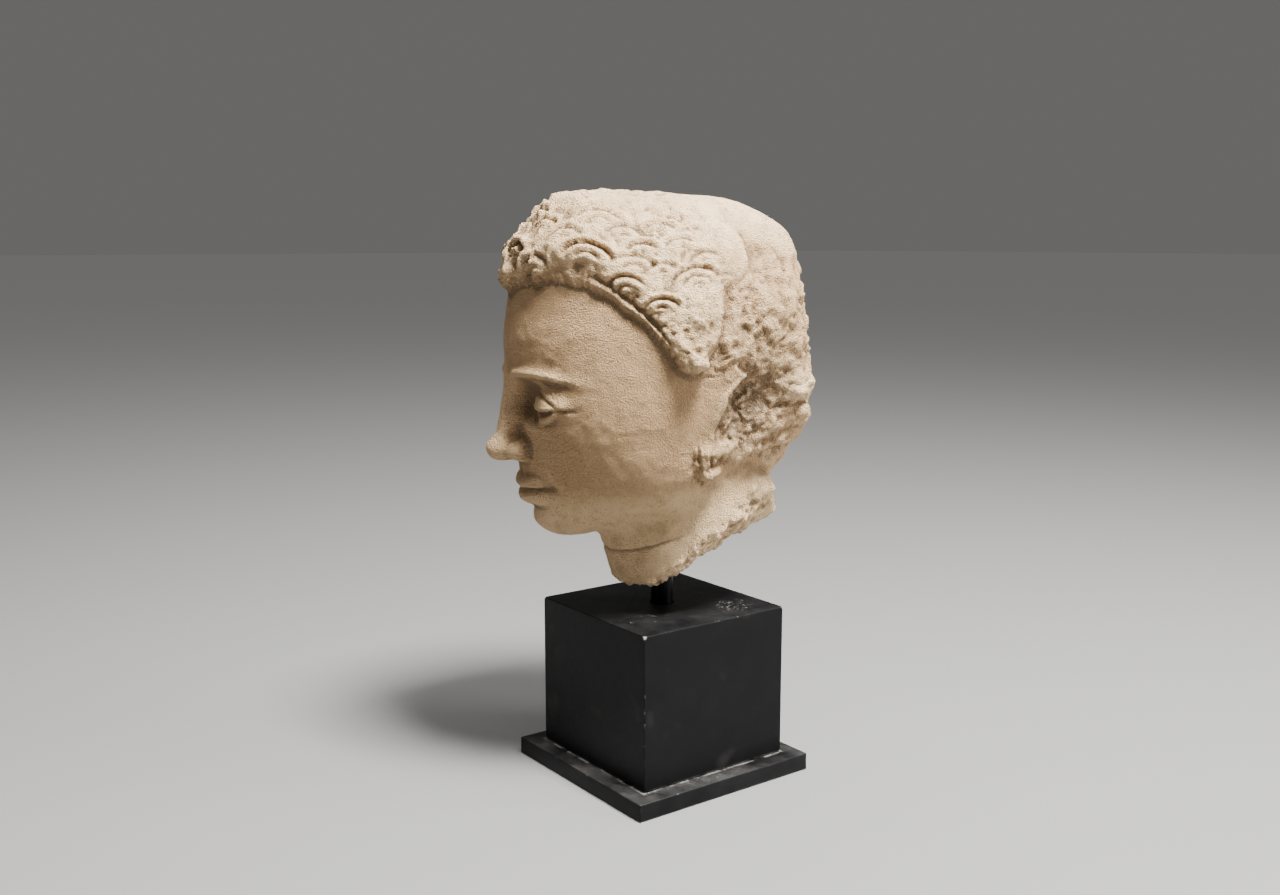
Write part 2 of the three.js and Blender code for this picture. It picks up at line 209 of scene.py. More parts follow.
def mouth(d, x, y, z):
    """Closed lips on a nearly level line, over a rounded chin."""
    side = np.abs(x)
    within = 1 - ease(MOUTH_HALF - 9, MOUTH_HALF + 1, side)
    up = above_lips(side, z)
    upper = 3.6 * within * bell(up - 3, 3) * (1 - 0.2 * bell(side, 2.6))
    lower = 4.2 * within**1.4 * bell(up + 4.2, 3.6)
    seam = 2.4 * (1 - ease(MOUTH_HALF - 4, MOUTH_HALF + 1, side)) * bell(up, 1)
    philtrum = 1.1 * bell(side, 2.8) * bell(z - MOUTH - 10, 4.5)
    furrow = 2.6 * bell(side, 13) * bell(up + 12, 4)
    corner = 1.5 * bell(side - MOUTH_HALF, 3.5) * bell(up, 3.5)
    return d - upper - lower + seam + philtrum + furrow + corner


def brow_arch(side):
    return BROW + 1.5 - 0.0085 * (side - 20) ** 2


def lid_edges(across):
    """Levels of the upper and the lower lid's edge, across one eye from -1 to 1."""
    upper = EYE - 2.6 + 1.6 * across * across - 0.6 * across
    lower = EYE - 6.4 + 5.4 * across * across - 0.6 * across
    return upper, lower


def eye(d, x, y, z):
    """A socket under a clean brow, the ball of the eye, and two lids that nearly close over it."""
    side = np.abs(x)
    across = (side - EYE_MIDDLE) / (EYE_WIDTH / 2)
    arch = brow_arch(side)
    ridge = 1.5 * bell(z - arch - 1.5, 2.6) * ease(4, 12, side) * (1 - ease(36, 52, side))
    socket = egg(side, y, z, (EYE_MIDDLE - 3, -88, EYE + 2), (25, 17.5, 13.5))
    made = without(d - ridge, socket, 3)
    ball = (EYE_MIDDLE, -61.5, EYE)
    made = joined(made, egg(side, y, z, ball, (15.5, 14, 11.5)), 3)
    lid = egg(side, y, z, ball, (17, 16, 13.4))
    upper_edge, lower_edge = lid_edges(across)
    made = joined(made, common(lid, upper_edge - z, 1), 1.5)
    return joined(made, common(lid, z - lower_edge, 1), 2)


def bearing(x, y):
    """How far round the head a point lies, in degrees from the face's middle."""
    return np.degrees(np.arctan2(np.abs(x), -y))


def spot(around, z, place):
    """1 in the middle of a place on the head, fading outwards."""
    turn, level, wide, tall = place
    return bell(around - turn, wide) * bell(z - level, tall)


def on_left(x):
    """1 on the head's left side, which the photograph shows, and 0 on its right."""
    return ease(-8, 0, x)


# The lower edge of the hair by bearing: an arch over the brow, a lobe before the ear, then the
# broken edge that climbs to the crown
HAIR_EDGE = [
    (0, 70), (20, 73.5), (31, 74.5), (44, 70), (54, 62.5), (67, 48), (76, 33), (80, 23),
    (85, 19.5), (90, 23), (97, 32), (103, 57), (118, 68), (122, 84), (139, 71), (180, 66),
]
# The front edge, by level, of the surface bared where the ear and the hair behind it are lost
BREAK_EDGE = [
    (-52, 112), (-38, 95), (-13, 94), (5, 101), (14, 110), (25, 101), (33, 98), (57, 103), (70, 118),
]


def hair_edge(around):
    return np.interp(around, *zip(*HAIR_EDGE))


def break_edge(z):
    return np.interp(z, *zip(*BREAK_EDGE))


def hair_lap(x, y, z):
    """Where the cap of hair lies: 0 below its edge and 1 above."""
    around = bearing(x, y)
    soft = 1.2 + 6 * ease(112, 126, around)
    return ease(-soft, soft, z - hair_edge(around) - 0.7 * noise(x / 4, y / 4, z / 4))


def hair(x, y, z):
    """How thick the cap of hair lies on the skull."""
    around = bearing(x, y)
    above = z - hair_edge(around)
    band = 0.9 * bell(above - 6, 1.8) * (1 - ease(70, 84, around))
    curls = 1.6 * (1 - ease(24, 40, around)) * noise(x / 6, y / 6, z / 6)
    lip = 3 * bell(x + 4, 7) * bell(above - 5, 6)
    depth = 3.4 + 2.2 * ease(0, 18, above) * (1 - ease(106, 122, around)) - 1.6 * ease(110, 126, around)
    depth = depth + curls + 3 * spot(around, z, LOBE) + lip - band
    return hair_lap(x, y, z) * depth


def side_loss(x, y, z):
    """What is gone, or stands proud, on the bared side."""
    around = bearing(x, y)
    behind = around - break_edge(z)
    bared = ease(-1, 2.5, behind) * ease(-40, -28, z - 0.1 * y)
    hollow = 6 * spot(around, z, EAR_CUT)
    ridge = 1.7 * bell(behind - 0.5, 4) * bell(z - 1, 15)
    lumps = 2.6 * bell(around - 93, 7) * (bell(z + 24, 6) + bell(z + 35, 5))
    return bared, bared * hollow - ridge - lumps


def neck_break(y):
    return -96 + 0.24 * (y + 40)


# Two slanting breaks that take off the neck's corner behind the post, each as a point and the way
# it faces
NECK_CHIPS = (
    ((31, 49, -39.4), (0.76, 0.56, -0.33)),
    ((42.6, 18, -65), (0.60, 0.34, -0.72)),
)


def beyond(x, y, z, point, facing):
    """How far a place lies outside a slanting break."""
    return sum((v - p) * n for v, p, n in zip((x, y, z), point, facing))


def below_neck(x, y, z):
    return neck_break(y) - 0.05 * np.abs(x) - z


def neck_chips(d, x, y, z, rough):
    for point, facing in NECK_CHIPS:
        d = common(d, beyond(x, y, z, point, facing) + rough, 1.2)
    return d


def carved_head(x, y, z):
    """The whole head but its finest relief: face and hair first, then the planes of its breaks."""
    crag = rubble(x, y, z, 24, 3)
    fine = rubble(x, y, z, 7, 3, 0.6)
    d = head_mass(x, y, z)
    d = np.where(y < -40, nose(mouth(eye(d, x, y, z), x, y, z), x, y, z), d)
    bared, loss = side_loss(x, y, z)
    bare = bared * (1 - hair_lap(x, y, z))
    d = d + loss + bare * (0.5 + 2 * crag + 0.9 * fine) - hair(x, y, z)
    d = common(d, z - CROWN + 0.17 * (y + 30) + 0.6 * crag, 10)
    d = common(d, (y - 54) * 0.66 + (z - 99.5) * 0.75 + 0.6 * crag, 12)
    d = common(d, y - 79 + 2.5 * crag + 0.8 * fine, 12)
    d = common(d, x * 0.31 + y * 0.95 - 78.5 + 2.5 * crag + 0.8 * fine, 8)
    d = common(d, (y - 78) * 0.8 - (z + 24) * 0.6 + 2.5 * crag + fine, 8)
    nape = ease(34, 46, y) * 2.5 * crag
    d = joined(d, neck_mass(x, y, z) + nape, 7)
    d = common(d, y - NECK_BACK + 2 * crag + fine - np.maximum(z - LEAN_LEVEL, 0), 4)
    d = np.where(z < -30, neck_chips(d, x, y, z, 1.3 * crag + 1.1 * fine), d)
    below = neck_break(y) + 2.4 * rubble(x, y, 0 * z, 22, 3) - 0.05 * np.abs(x) + fine
    return common(d, below - z, 1.5)


def face_finish(x, y, z):
    """Crisp edges for the lids, brows and lips."""
    side = np.abs(x)
    across = (side - EYE_MIDDLE) / (EYE_WIDTH / 2)
    on_eye = 1 - ease(0.75, 1.2, np.abs(across))
    upper_edge, lower_edge = lid_edges(across)
    fold = EYE + 6.8 - 5.5 * across * across - 0.8 * across
    lids = on_eye * (
        0.7 * bell(z - upper_edge - 1.6, 1.3) - 1.5 * bell(z - upper_edge + 0.6, 1.0)
        + 0.8 * bell(z - lower_edge + 1.2, 1.2) - 0.8 * bell(z - lower_edge + 4.2, 1.8)
    )
    crease = -1.1 * bell(z - fold, 1.1) * (1 - ease(0.9, 1.35, np.abs(across)))
    tail = EYE - 1.8 - 2.2 * (across - 1)
    tails = -0.9 * bell(z - tail, 1.1) * ease(0.8, 1.0, across) * (1 - ease(1.15, 1.6, across))
    arch = brow_arch(side)
    on_brow = ease(5, 12, side) * (1 - ease(36, 48, side))
    brow = on_brow * (0.9 * bell(z - arch - 0.6, 1.6) - 0.8 * bell(z - arch + 3, 2))
    up = above_lips(side, z)
    on_lips = 1 - ease(MOUTH_HALF - 7, MOUTH_HALF, side)
    lips = on_lips * (0.5 * bell(up - 5.6, 1.1) + 0.4 * bell(up + 7.6, 1.2) - 0.7 * bell(up, 0.9))
    wing = -0.9 * bell(np.hypot(side - 8.2, 0.9 * (z - NOSE_BASE - 6.5)) - 7, 1.2) * (side > 8)
    return (y < -40) * (lids + tails + crease + brow + lips + wing * (z > NOSE_BASE + 2))


# Crescent locks that can be made out on the left side: bearing, elevation seen from the middle of
# the skull, radius, and how fresh each still is
CRESCENTS = (
    (46, 36, 9, 1.0), (61, 26.5, 8, 0.9), (64.5, 33.5, 9, 0.5), (69.5, 40.5, 6, 0.8),
    (79, 48, 6.5, 0.8), (91, 25.5, 10.5, 1.0), (97, 33, 7, 0.6), (49, 50.5, 8, 0.6),
    (20, 47.5, 5, 1.0), (26, 58.5, 6, 0.8), (23, 33.5, 5.5, 1.0), (75, 18, 7.5, 0.9),
    (35, 43, 6.5, 0.7), (8, 37, 5.5, 0.9), (7, 51, 5.5, 0.7), (77, 31.5, 7, 0.45),
    (62, 46, 7, 0.45), (88, 40, 7, 0.4), (103, 24, 7, 0.4), (36, 54, 6, 0.5),
)
# Deep pits between the locks: bearing, level, width and depth
PITS = ((17, 78, 4.5, 1.6), (27, 88, 3.5, 1.5), (10, 84, 3.5, 1.3), (21, 70, 3, 1.2), (66, 62, 3, 1.2))
SKULL_MIDDLE = 30
HAIR_RADIUS = 78
LOCK_ROW = 14.5
LOCK_WIDTH = 21


def lock_profile(across, up, radius):
    """One crescent lock: arches one inside another, each over a groove that thins to its ends."""
    far = np.hypot(across / 1.35, up) + 0.01
    out = far - radius
    shown = ease(0.05, 0.75, up / far)
    total = 0.9 * bell(far, 0.9 * radius) * ease(-0.3, 0.5, up / far)
    for gap, strength in ((0, 1.0), (4.4, 0.8), (8.2, 0.5)):
        ledge = 0.9 * bell(out + gap - 1.3, 1.3)
        groove = 1.9 * bell(out + gap + 0.7, 1.05)
        total = total + strength * shown * (ledge - groove)
    return total


def left_locks(x, y, z):
    """The crescents that can be made out one by one on the left side."""
    far = np.sqrt(x * x + y * y + (z - SKULL_MIDDLE) ** 2)
    total = np.zeros_like(x)
    for turn, elevation, radius, fresh in CRESCENTS:
        b, e = math.radians(turn), math.radians(elevation)
        centre = (math.sin(b) * math.cos(e), -math.cos(b) * math.cos(e), math.sin(e))
        side = (math.cos(b), math.sin(b), 0)
        rise = (-math.sin(b) * math.sin(e), math.cos(b) * math.sin(e), math.cos(e))
        point = (x / far, y / far, (z - SKULL_MIDDLE) / far)
        across, up, ahead = (sum(p * q for p, q in zip(point, way)) for way in (side, rise, centre))
        near = ahead > 0.9
        made = lock_profile(HAIR_RADIUS * across[near], HAIR_RADIUS * up[near], radius)
        total[near] += fresh * made
    return total


def other_locks(x, y, z):
    """Rows of crescents about the crown, for the side that no longer shows them one by one."""
    away = np.arccos(np.clip((z - SKULL_MIDDLE) / np.sqrt(x * x + y * y + (z - SKULL_MIDDLE) ** 2), -1, 1))
    from_crown = HAIR_RADIUS * away
    row = np.round(from_crown / LOCK_ROW)
    girth = HAIR_RADIUS * np.maximum(np.sin(row * LOCK_ROW / HAIR_RADIUS), 0.2)
    step = np.pi / np.maximum(2, np.round(np.pi * girth / LOCK_WIDTH))
    turns = np.arctan2(x, -y) / step + 0.5 * (row % 2)
    which = np.round(turns)
    jog = lattice_value(which, row, 5)
    across = (turns - which) * step * girth
    up = row * LOCK_ROW - from_crown + 4 + 1.5 * jog
    fresh = 0.65 + 0.35 * lattice_value(which, row, 9)
    return fresh * lock_profile(across, up, 7.5 + jog)


def crumbs(x, y, z, size, octaves):
    """Crumbled stucco: lumps of several sizes with sharp clefts between them."""
    x, y, z = (v + 0.35 * size * noise(x / size + shift, y / size, z / size - shift)
               for v, shift in ((x, 11.3), (y, 23.9), (z, 37.1)))
    total = 0
    for o in range(octaves):
        grain = size / 2**o
        wave = noise(x / grain + 3.7 * o, y / grain - 5.1 * o, z / grain)
        total = total + (np.abs(wave) - 0.3) * 0.6**o
    return total


def rubbed_crown(around, z):
    """1 where the crown is rubbed smooth."""
    return ease(92, 118, around) * ease(56, 78, z)


def relief(x, y, z):
    """The finer carving and damage, laid on along the surface's own direction."""
    around = bearing(x, y)
    above = z - hair_edge(around)
    lap = hair_lap(x, y, z)
    bared, _ = side_loss(x, y, z)
    broken = bared * (1 - lap)
    left = on_left(x)

    # a few larger grains and chips on the smooth face and neck
    smooth = (1 - lap) * (1 - bared)
    worn_skin = 0.22 * smooth * rubble(x, y, z, 5, 2)

    # hair: worn crescents on rolling ground, smoother towards the crown, knobbly over the brow
    crown = rubbed_crown(around, z)
    curls = 1 - ease(26, 44, around)
    temple = ease(44, 52, around) * (1 - ease(74, 80, around)) * left
    hairy = lap * ease(0.5 + 2.5 * temple, 8, above) * (1 - crown)
    wear = np.clip(0.95 + 0.5 * noise(x / 11, y / 11, z / 11), 0.4, 1.2) + 0.35 * ease(70, 95, z)
    locks = left * left_locks(x, y, z) + (1 - left) * other_locks(x, y, z)
    rolling = 1.0 * noise(x / 13, y / 13, z / 13) + 0.8 * rubble(x, y, z, 6, 3, 0.65)
    knobs = 1.7 * rubble(x + 3, y, z, 10, 3, 0.55) + 0.5 * crumbs(x, y, z, 8, 2)
    flakes = crumbs(x, y, z, 6, 3) * ease(-0.1, 0.4, noise(x / 17 + 5, y / 17, z / 17))
    made = worn_skin + face_finish(x, y, z)
    made = made + hairy * (wear * locks + mix(rolling, knobs, curls) + 1.2 * flakes)
    made = made + lap * (1 - hairy) * (0.12 + 0.4 * (1 - crown)) * rubble(x, y, z, 5, 3, 0.7)
    # the edge itself thins out, and has no groove over the brow
    rim = 0.8 * (1 - temple) * bell(above - 6, 1.8) - 1.3 * (1 - ease(0, 9, above))
    made = made + lap * (1 - crown) * rim
    # worn down where the hair turns from the brow to the top
    made = made - 4.2 * lap * bell(z - 103, 9) * bell(y + 64, 15)
    for turn, level, size, depth in PITS:
        off = np.hypot(around - turn, z - level)
        made = made - left * depth * bell(off, size)

    # a roll along the hair's edge over the temple, with a groove above it
    made = made + lap * temple * (0.7 * bell(above - 2.8, 1.8) - 0.8 * bell(above - 6.0, 1.5))
    # the ragged lip at the middle of the brow, and the knobs of the lobe before the ear
    made = made + 3.0 * lap * bell(x + 3, 10) * bell(above - 3, 5) * crumbs(x, y, z, 6, 3)
    made = made + left * lap * spot(around, z, LOBE_KNOBS) * (1.8 + 3.4 * crumbs(x, y, z, 9, 3))
    knobbly = spot(around, z, LOBE_FRONT) + spot(around, z, LOBE_TOP)
    made = made + left * lap * knobbly * 0.9 * (rubble(x, y, z, 5.5, 2, 0.6) + crumbs(x, y, z, 7, 3))

    # the break behind the ear: crumbled, with a sharp ridge before the hollow
    behind = around - break_edge(z)
    chunks = noise(x / 15, y / 15, z / 15) + 0.8 * rubble(x, y, z, 8, 2)
    chunks = chunks + 0.75 * rubble(x, y, z, 4.2, 2, 0.7)
    rough = (1 + 0.6 * spot(around, z, EAR_RUBBLE)) * (chunks + 1.2 * crumbs(x, y, z, 9, 3))
    made = made + broken * rough
    made = made + left * bell(z - 1, 14) * (1.1 * bell(behind - 0.3, 1.9) - 1.5 * bell(behind - 4.6, 2.6))
    made = made + 2.6 * left * spot(around, z, BEHIND_LOBE) * (1 - lap) * crumbs(x, y, z, 7, 3)
    made = made + 4.2 * spot(around, z, JAW_CHIPS) * (0.15 + crumbs(x, y, z, 7, 3))
    # a pale lump at the back over a crack, with a second lump below it
    wander = 1.8 * noise(x / 7, y / 7, z / 7)
    at_back = left * ease(126, 134, around) * (1 - ease(150, 163, around))
    made = made + left * (3.0 + 3 * crumbs(x, y, z, 8, 2)) * bell(around - 141, 8) * bell(z - 1 + wander, 6)
    made = made - 2.4 * at_back * bell(z + 8 + wander, 1.6)
    made = made + left * 2 * bell(around - 149, 9) * bell(z + 17 + wander, 6)
    # the ring round the neck
    made = made + neck_ring(y, z, 0.5, 2.4) * (z < -50)
    # the bulge low on the nape
    made = made + left * 3 * spot(around, z, NAPE_BULGE)
    # the neck's broken faces
    torn = 1.1 * rubble(x, y, z, 8, 2) + 0.9 * rubble(x, y, z, 4, 2, 0.7) + 1.3 * crumbs(x, y, z, 8, 3)
    return made + neck_fracture(x, y, z) * (1 - bared) * (torn - 0.3)


def neck_fracture(x, y, z):
    """1 on the broken faces at the neck's corner, back and underside, 0 on its modelled side."""
    under = ease(-2.5, -0.5, below_neck(x, y, z))
    back = ease(-3, -0.5, y - NECK_BACK - np.maximum(z - LEAN_LEVEL, 0))
    total = np.maximum(under, back)
    for point, facing in NECK_CHIPS:
        total = np.maximum(total, ease(-2.5, -0.8, beyond(x, y, z, point, facing)))
    return total * (z < -30)


def spacing(count, span, weight, samples=1440):
    """Steps from 0 to span that crowd together where the weight is high."""
    fine = np.linspace(0, span, samples + 1)
    sums = np.concatenate([[0], np.cumsum(weight((fine[1:] + fine[:-1]) / 2))])
    return np.interp(np.linspace(0, sums[-1], count + 1), sums, fine)


# The surface is found along lines that spread from a point inside. From crown to cheek they tilt
# downwards, then the point sinks through the neck, and last they close underneath.
HEART = (0, -8, 6)
LOWEST_HEART = -80
TILTED = 115
SUNK = TILTED + 50
TRAVEL = SUNK + 12
FARTHEST = 150
SAFE_SHARE = 0.5
LEAST_STEP = 0.4
HALVINGS = 9
# How far out from the head's axis the edges of hair and ear lie
EDGE_OUT = 70
EAR_OUT = 66


def surface_points(angle, way):
    """Steps inwards along each line to the carved surface, then halves the last step."""
    closing = np.maximum(way - SUNK, 0) * (180 - TILTED) / (TRAVEL - SUNK)
    fall = np.radians(np.minimum(way, TILTED) + closing)
    sink = np.clip((way - TILTED) / (SUNK - TILTED), 0, 1)
    turn = np.radians(angle)
    start_z = mix(HEART[2], LOWEST_HEART, sink)
    out, up = np.sin(fall), np.cos(fall)

    def at(r, i):
        x = HEART[0] + r * np.sin(turn[i]) * out[i]
        y = HEART[1] - r * np.cos(turn[i]) * out[i]
        return x, y, start_z[i] + r * up[i]

    inner = np.full(len(angle), float(FARTHEST))
    outer = inner.copy()
    active = np.arange(len(angle))
    while len(active):
        d = carved_head(*at(inner[active], active))
        active, d = active[d > 0], d[d > 0]
        outer[active] = inner[active]
        inner[active] -= np.maximum(SAFE_SHARE * d, LEAST_STEP)
    everywhere = np.arange(len(angle))
    for _ in range(HALVINGS):
        middle = (inner + outer) / 2
        outside = carved_head(*at(middle, everywhere)) > 0
        outer = np.where(outside, middle, outer)
        inner = np.where(outside, inner, middle)
    return np.stack(at(inner, everywhere), 1)


def one_part(sizes):
    """The length of one of the head's parts in metres."""
    return sizes.height / (4 * QUARTER)


def head_matrix(sizes):
    """From the head's own parts to metres in the row's frame."""
    stance = Euler((sizes.bow, 0, sizes.turn), "XYZ").to_matrix().to_4x4()
    to_post = Matrix.Translation((0, -POST_MEETS_NECK_Y, -neck_break(POST_MEETS_NECK_Y)))
    place = Matrix.Translation((0, 0, NECK_AT_POST))
    return place @ stance @ Matrix.Scale(one_part(sizes), 4) @ to_post


class HeadSizes(PropertyGroup):
    height: FloatProperty(name="Height", description="Chin to crown", default=190 * MM, unit="LENGTH")
    bow: FloatProperty(name="Bow", description="How far the face is lowered",
                       default=math.radians(7), subtype="ANGLE")
    turn: FloatProperty(name="Turn", description="How far the face is turned from the plinth's front",
                        default=math.radians(-18.5), subtype="ANGLE")
    columns: IntProperty(name="Columns", description="Points in each ring of the surface", default=372)
    rows: IntProperty(name="Rows", description="Rings of the surface from crown to neck", default=262)
    stucco: FloatVectorProperty(name="Stucco", description="Colour of the clean stucco",
                                default=(0.49, 0.305, 0.155), subtype="COLOR")
    warm: FloatVectorProperty(name="Warm stucco", description="Colour of the stucco where it is warmer",
                              default=(0.54, 0.345, 0.18), subtype="COLOR")
    # pale is also the colour of painted top light on the hair, painted light on the lower neck and painted
    # highlights on raised relief
    pale: FloatVectorProperty(name="Pale stucco", description="Colour of rubbed and freshly broken stucco",
                              default=(0.93, 0.67, 0.39), subtype="COLOR")
    # soil is also the colour of painted shade in hollows and in the grain's pits
    soil_and_shade: FloatVectorProperty(name="Soil", description="Colour of the soil left in the grain's pits",
                              default=(0.26, 0.17, 0.095), subtype="COLOR")
    ochre: FloatVectorProperty(name="Ochre", description="Colour of the stains at the nape and the crown",
                               default=(0.45, 0.26, 0.10), subtype="COLOR")
    # grey darkens the hollow of the ear, and is the painted shade under the neck's break
    grey: FloatVectorProperty(name="Grey", description="Colour of the dirt in the hollow of the ear",
                              default=(0.17, 0.12, 0.075), subtype="COLOR")


class PlinthSizes(PropertyGroup):
    edge: FloatProperty(name="Edge", description="Radius of the rounded edges",
                        default=0.8 * MM, unit="LENGTH")
    chip: FloatProperty(name="Chip", description="Width of the chip at the front corner",
                        default=1.6 * MM, unit="LENGTH")
    paint: FloatVectorProperty(name="Paint", description="Colour of the black paint",
                               default=(0.0025, 0.0025, 0.003), subtype="COLOR")
    dust: FloatVectorProperty(name="Dust", description="Colour of dust and scratches",
                              default=(0.22, 0.21, 0.19), subtype="COLOR")


class StageSizes(PropertyGroup):
    azimuth: FloatProperty(name="Azimuth", description="Round from the plinth's front",
                           default=math.radians(53.47), subtype="ANGLE")
    elevation: FloatProperty(name="Elevation", description="Above the horizon",
                             default=math.radians(9.03), subtype="ANGLE")
    distance: FloatProperty(name="Distance", description="From the camera to its aim",
                            default=748.6 * MM, unit="LENGTH")
    aim_height: FloatProperty(name="Aim height", description="Height the camera looks at",
                              default=189.8 * MM, unit="LENGTH")
    aim_right: FloatProperty(name="Aim right", description="How far right of the axis the camera looks",
                             default=-12.8 * MM, unit="LENGTH")
    lens: FloatProperty(name="Lens", description="Focal length in millimetres", default=36.56)
    floor: FloatVectorProperty(name="Floor", description="Colour of the floor",
                               default=(0.22, 0.216, 0.21), subtype="COLOR")


def deselect_all():
    if bpy.context.object and bpy.context.object.mode != "OBJECT":
        bpy.ops.object.mode_set(mode="OBJECT")
    bpy.ops.object.select_all(action="DESELECT")


def apply_modifiers(piece):
    bpy.context.view_layer.objects.active = piece
    for modifier in list(piece.modifiers):
        bpy.ops.object.modifier_apply(modifier=modifier.name)


def apply_place(piece):
    deselect_all()
    piece.select_set(True)
    bpy.context.view_layer.objects.active = piece
    bpy.ops.object.transform_apply(location=True, rotation=True, scale=True)


class Nodes:
    """A short way to lay out one node tree."""

    def __init__(self, tree):
        self.tree = tree

    def add(self, kind, **values):
        node = self.tree.nodes.new(kind)
        for key, value in values.items():
            if key in node.bl_rna.properties:
                setattr(node, key, value)
            else:
                node.inputs[key.replace("_", " ")].default_value = value
        return node

    def link(self, source, target):
        self.tree.links.new(source, target)

    def math(self, operation, a, b=0.0, clamp=False):
        node = self.tree.nodes.new("ShaderNodeMath")
        node.operation = operation
        node.use_clamp = clamp
        for socket, value in zip(node.inputs, (a, b)):
            if isinstance(value, (int, float)):
                socket.default_value = value
            else:
                self.link(value, socket)
        return node.outputs[0]

    def times(self, a, b, clamp=False):
        return self.math("MULTIPLY", a, b, clamp)

    def plus(self, a, b):
        return self.math("ADD", a, b)

    def minus(self, a, b):
        return self.math("SUBTRACT", a, b)

    def most(self, a, b):
        return self.math("MAXIMUM", a, b)

    def ramp(self, value, low, high):
        """0 at low, 1 at high and smooth between."""
        node = self.add("ShaderNodeMapRange", interpolation_type="SMOOTHSTEP")
        self.link(value, node.inputs["Value"])
        node.inputs["From Min"].default_value = low
        node.inputs["From Max"].default_value = high
        return node.outputs["Result"]

    def noise(self, vector, scale, detail=2.0, roughness=0.5):
        node = self.add("ShaderNodeTexNoise", Scale=scale, Detail=detail, Roughness=roughness)
        self.link(vector, node.inputs["Vector"])
        return node.outputs["Fac"]

    def blend(self, factor, a, b):
        node = self.add("ShaderNodeMix", data_type="RGBA")
        if isinstance(factor, float):
            node.inputs[0].default_value = factor
        else:
            self.link(factor, node.inputs[0])
        for socket, value in ((node.inputs[6], a), (node.inputs[7], b)):
            if isinstance(value, tuple):
                socket.default_value = value
            else:
                self.link(value, socket)
        return node.outputs[2]


def colour(values):
    return (*values, 1.0)


def new_material(name):
    material = bpy.data.materials.new(name)
    material.use_nodes = True
    material.node_tree.nodes.clear()
    nodes = Nodes(material.node_tree)
    shader = nodes.add("ShaderNodeBsdfPrincipled")
    output = nodes.add("ShaderNodeOutputMaterial")
    nodes.link(shader.outputs[0], output.inputs["Surface"])
    place = nodes.add("ShaderNodeTexCoord").outputs["Object"]
    return material, nodes, shader, place


def new_group(name, inputs, outputs):
    """A node group that takes a place and some numbers, and gives numbers."""
    group = bpy.data.node_groups.new(name, "ShaderNodeTree")
    group.interface.new_socket("Place", in_out="INPUT", socket_type="NodeSocketVector")
    for label in inputs:
        group.interface.new_socket(label, in_out="INPUT", socket_type="NodeSocketFloat")
    for label in outputs:
        group.interface.new_socket(label, in_out="OUTPUT", socket_type="NodeSocketFloat")
    nodes = Nodes(group)
    return group, nodes, nodes.add("NodeGroupInput"), nodes.add("NodeGroupOutput")


def stucco_material(sizes):
    material, nodes, shader, place = new_material("sandy_lime_stucco")
    attribute = nodes.add("ShaderNodeAttribute", attribute_name="marks")
    split = nodes.add("ShaderNodeSeparateColor")
    nodes.link(attribute.outputs["Color"], split.inputs[0])
    pale, stained, greyed = split.outputs
    sunk = attribute.outputs["Alpha"]

    clouds = nodes.noise(place, 22, 4, 0.55)
    blotches = nodes.noise(place, 130, 4, 0.6)
    sand = nodes.noise(place, 1250, 2, 0.7)
    pits = nodes.ramp(nodes.noise(place, 800, 3, 0.65), 0.44, 0.3)
    ochre = nodes.times(stained, nodes.ramp(blotches, 0.3, 0.6))
    darkening = nodes.times(greyed, nodes.plus(nodes.ramp(blotches, 0.35, 0.6), 0.45), clamp=True)
    base = nodes.blend(nodes.ramp(clouds, 0.3, 0.75), colour(sizes.stucco), colour(sizes.warm))
    # each layer over the ones before: where it lies, and its colour
    layers = (
        (nodes.times(nodes.ramp(blotches, 0.52, 0.8), 0.25), sizes.soil_and_shade),
        # rubbed and broken stucco, with painted top light on the hair, painted light on the lower neck and
        # painted highlights on raised relief
        (nodes.times(pale, nodes.plus(nodes.ramp(blotches, 0.25, 0.6), 0.35), clamp=True), sizes.pale),
        (nodes.times(ochre, 0.35), sizes.ochre),
        # darker grey-brown in the ear's hollow, and painted shade under the neck's break
        (nodes.times(darkening, 0.85), sizes.grey),
        # painted highlight on raised parts, partly rubbed stucco
        (nodes.times(nodes.ramp(sunk, 0.4, 0.0), 0.3), sizes.pale),
        # painted shade in hollows, with soil
        (nodes.times(nodes.ramp(sunk, 0.56, 1.0), 0.85), sizes.soil_and_shade),
        # painted shade in the grain's pits, with soil
        (nodes.times(pits, 0.55), sizes.soil_and_shade),
        (nodes.times(nodes.ramp(sand, 0.55, 0.7), 0.4), sizes.pale),
    )
    for cover, shade in layers:
        base = nodes.blend(cover, base, colour(shade))
    nodes.link(base, shader.inputs["Base Color"])
    shader.inputs["Roughness"].default_value = 0.95
    shader.inputs["Specular IOR Level"].default_value = 0.15

    grains = nodes.add("ShaderNodeTexVoronoi", Scale=1150.0)
    nodes.link(place, grains.inputs["Vector"])
    coarse = nodes.noise(place, 430, 2, 0.55)
    height = nodes.plus(nodes.times(coarse, 0.45), nodes.times(sand, 1.1))
    height = nodes.minus(height, nodes.times(pits, 0.3))
    height = nodes.minus(height, nodes.times(grains.outputs["Distance"], 0.6))
    bump = nodes.add("ShaderNodeBump", Strength=1.0, Distance=0.002)
    nodes.link(height, bump.inputs["Height"])
    nodes.link(bump.outputs[0], shader.inputs["Normal"])
    return material


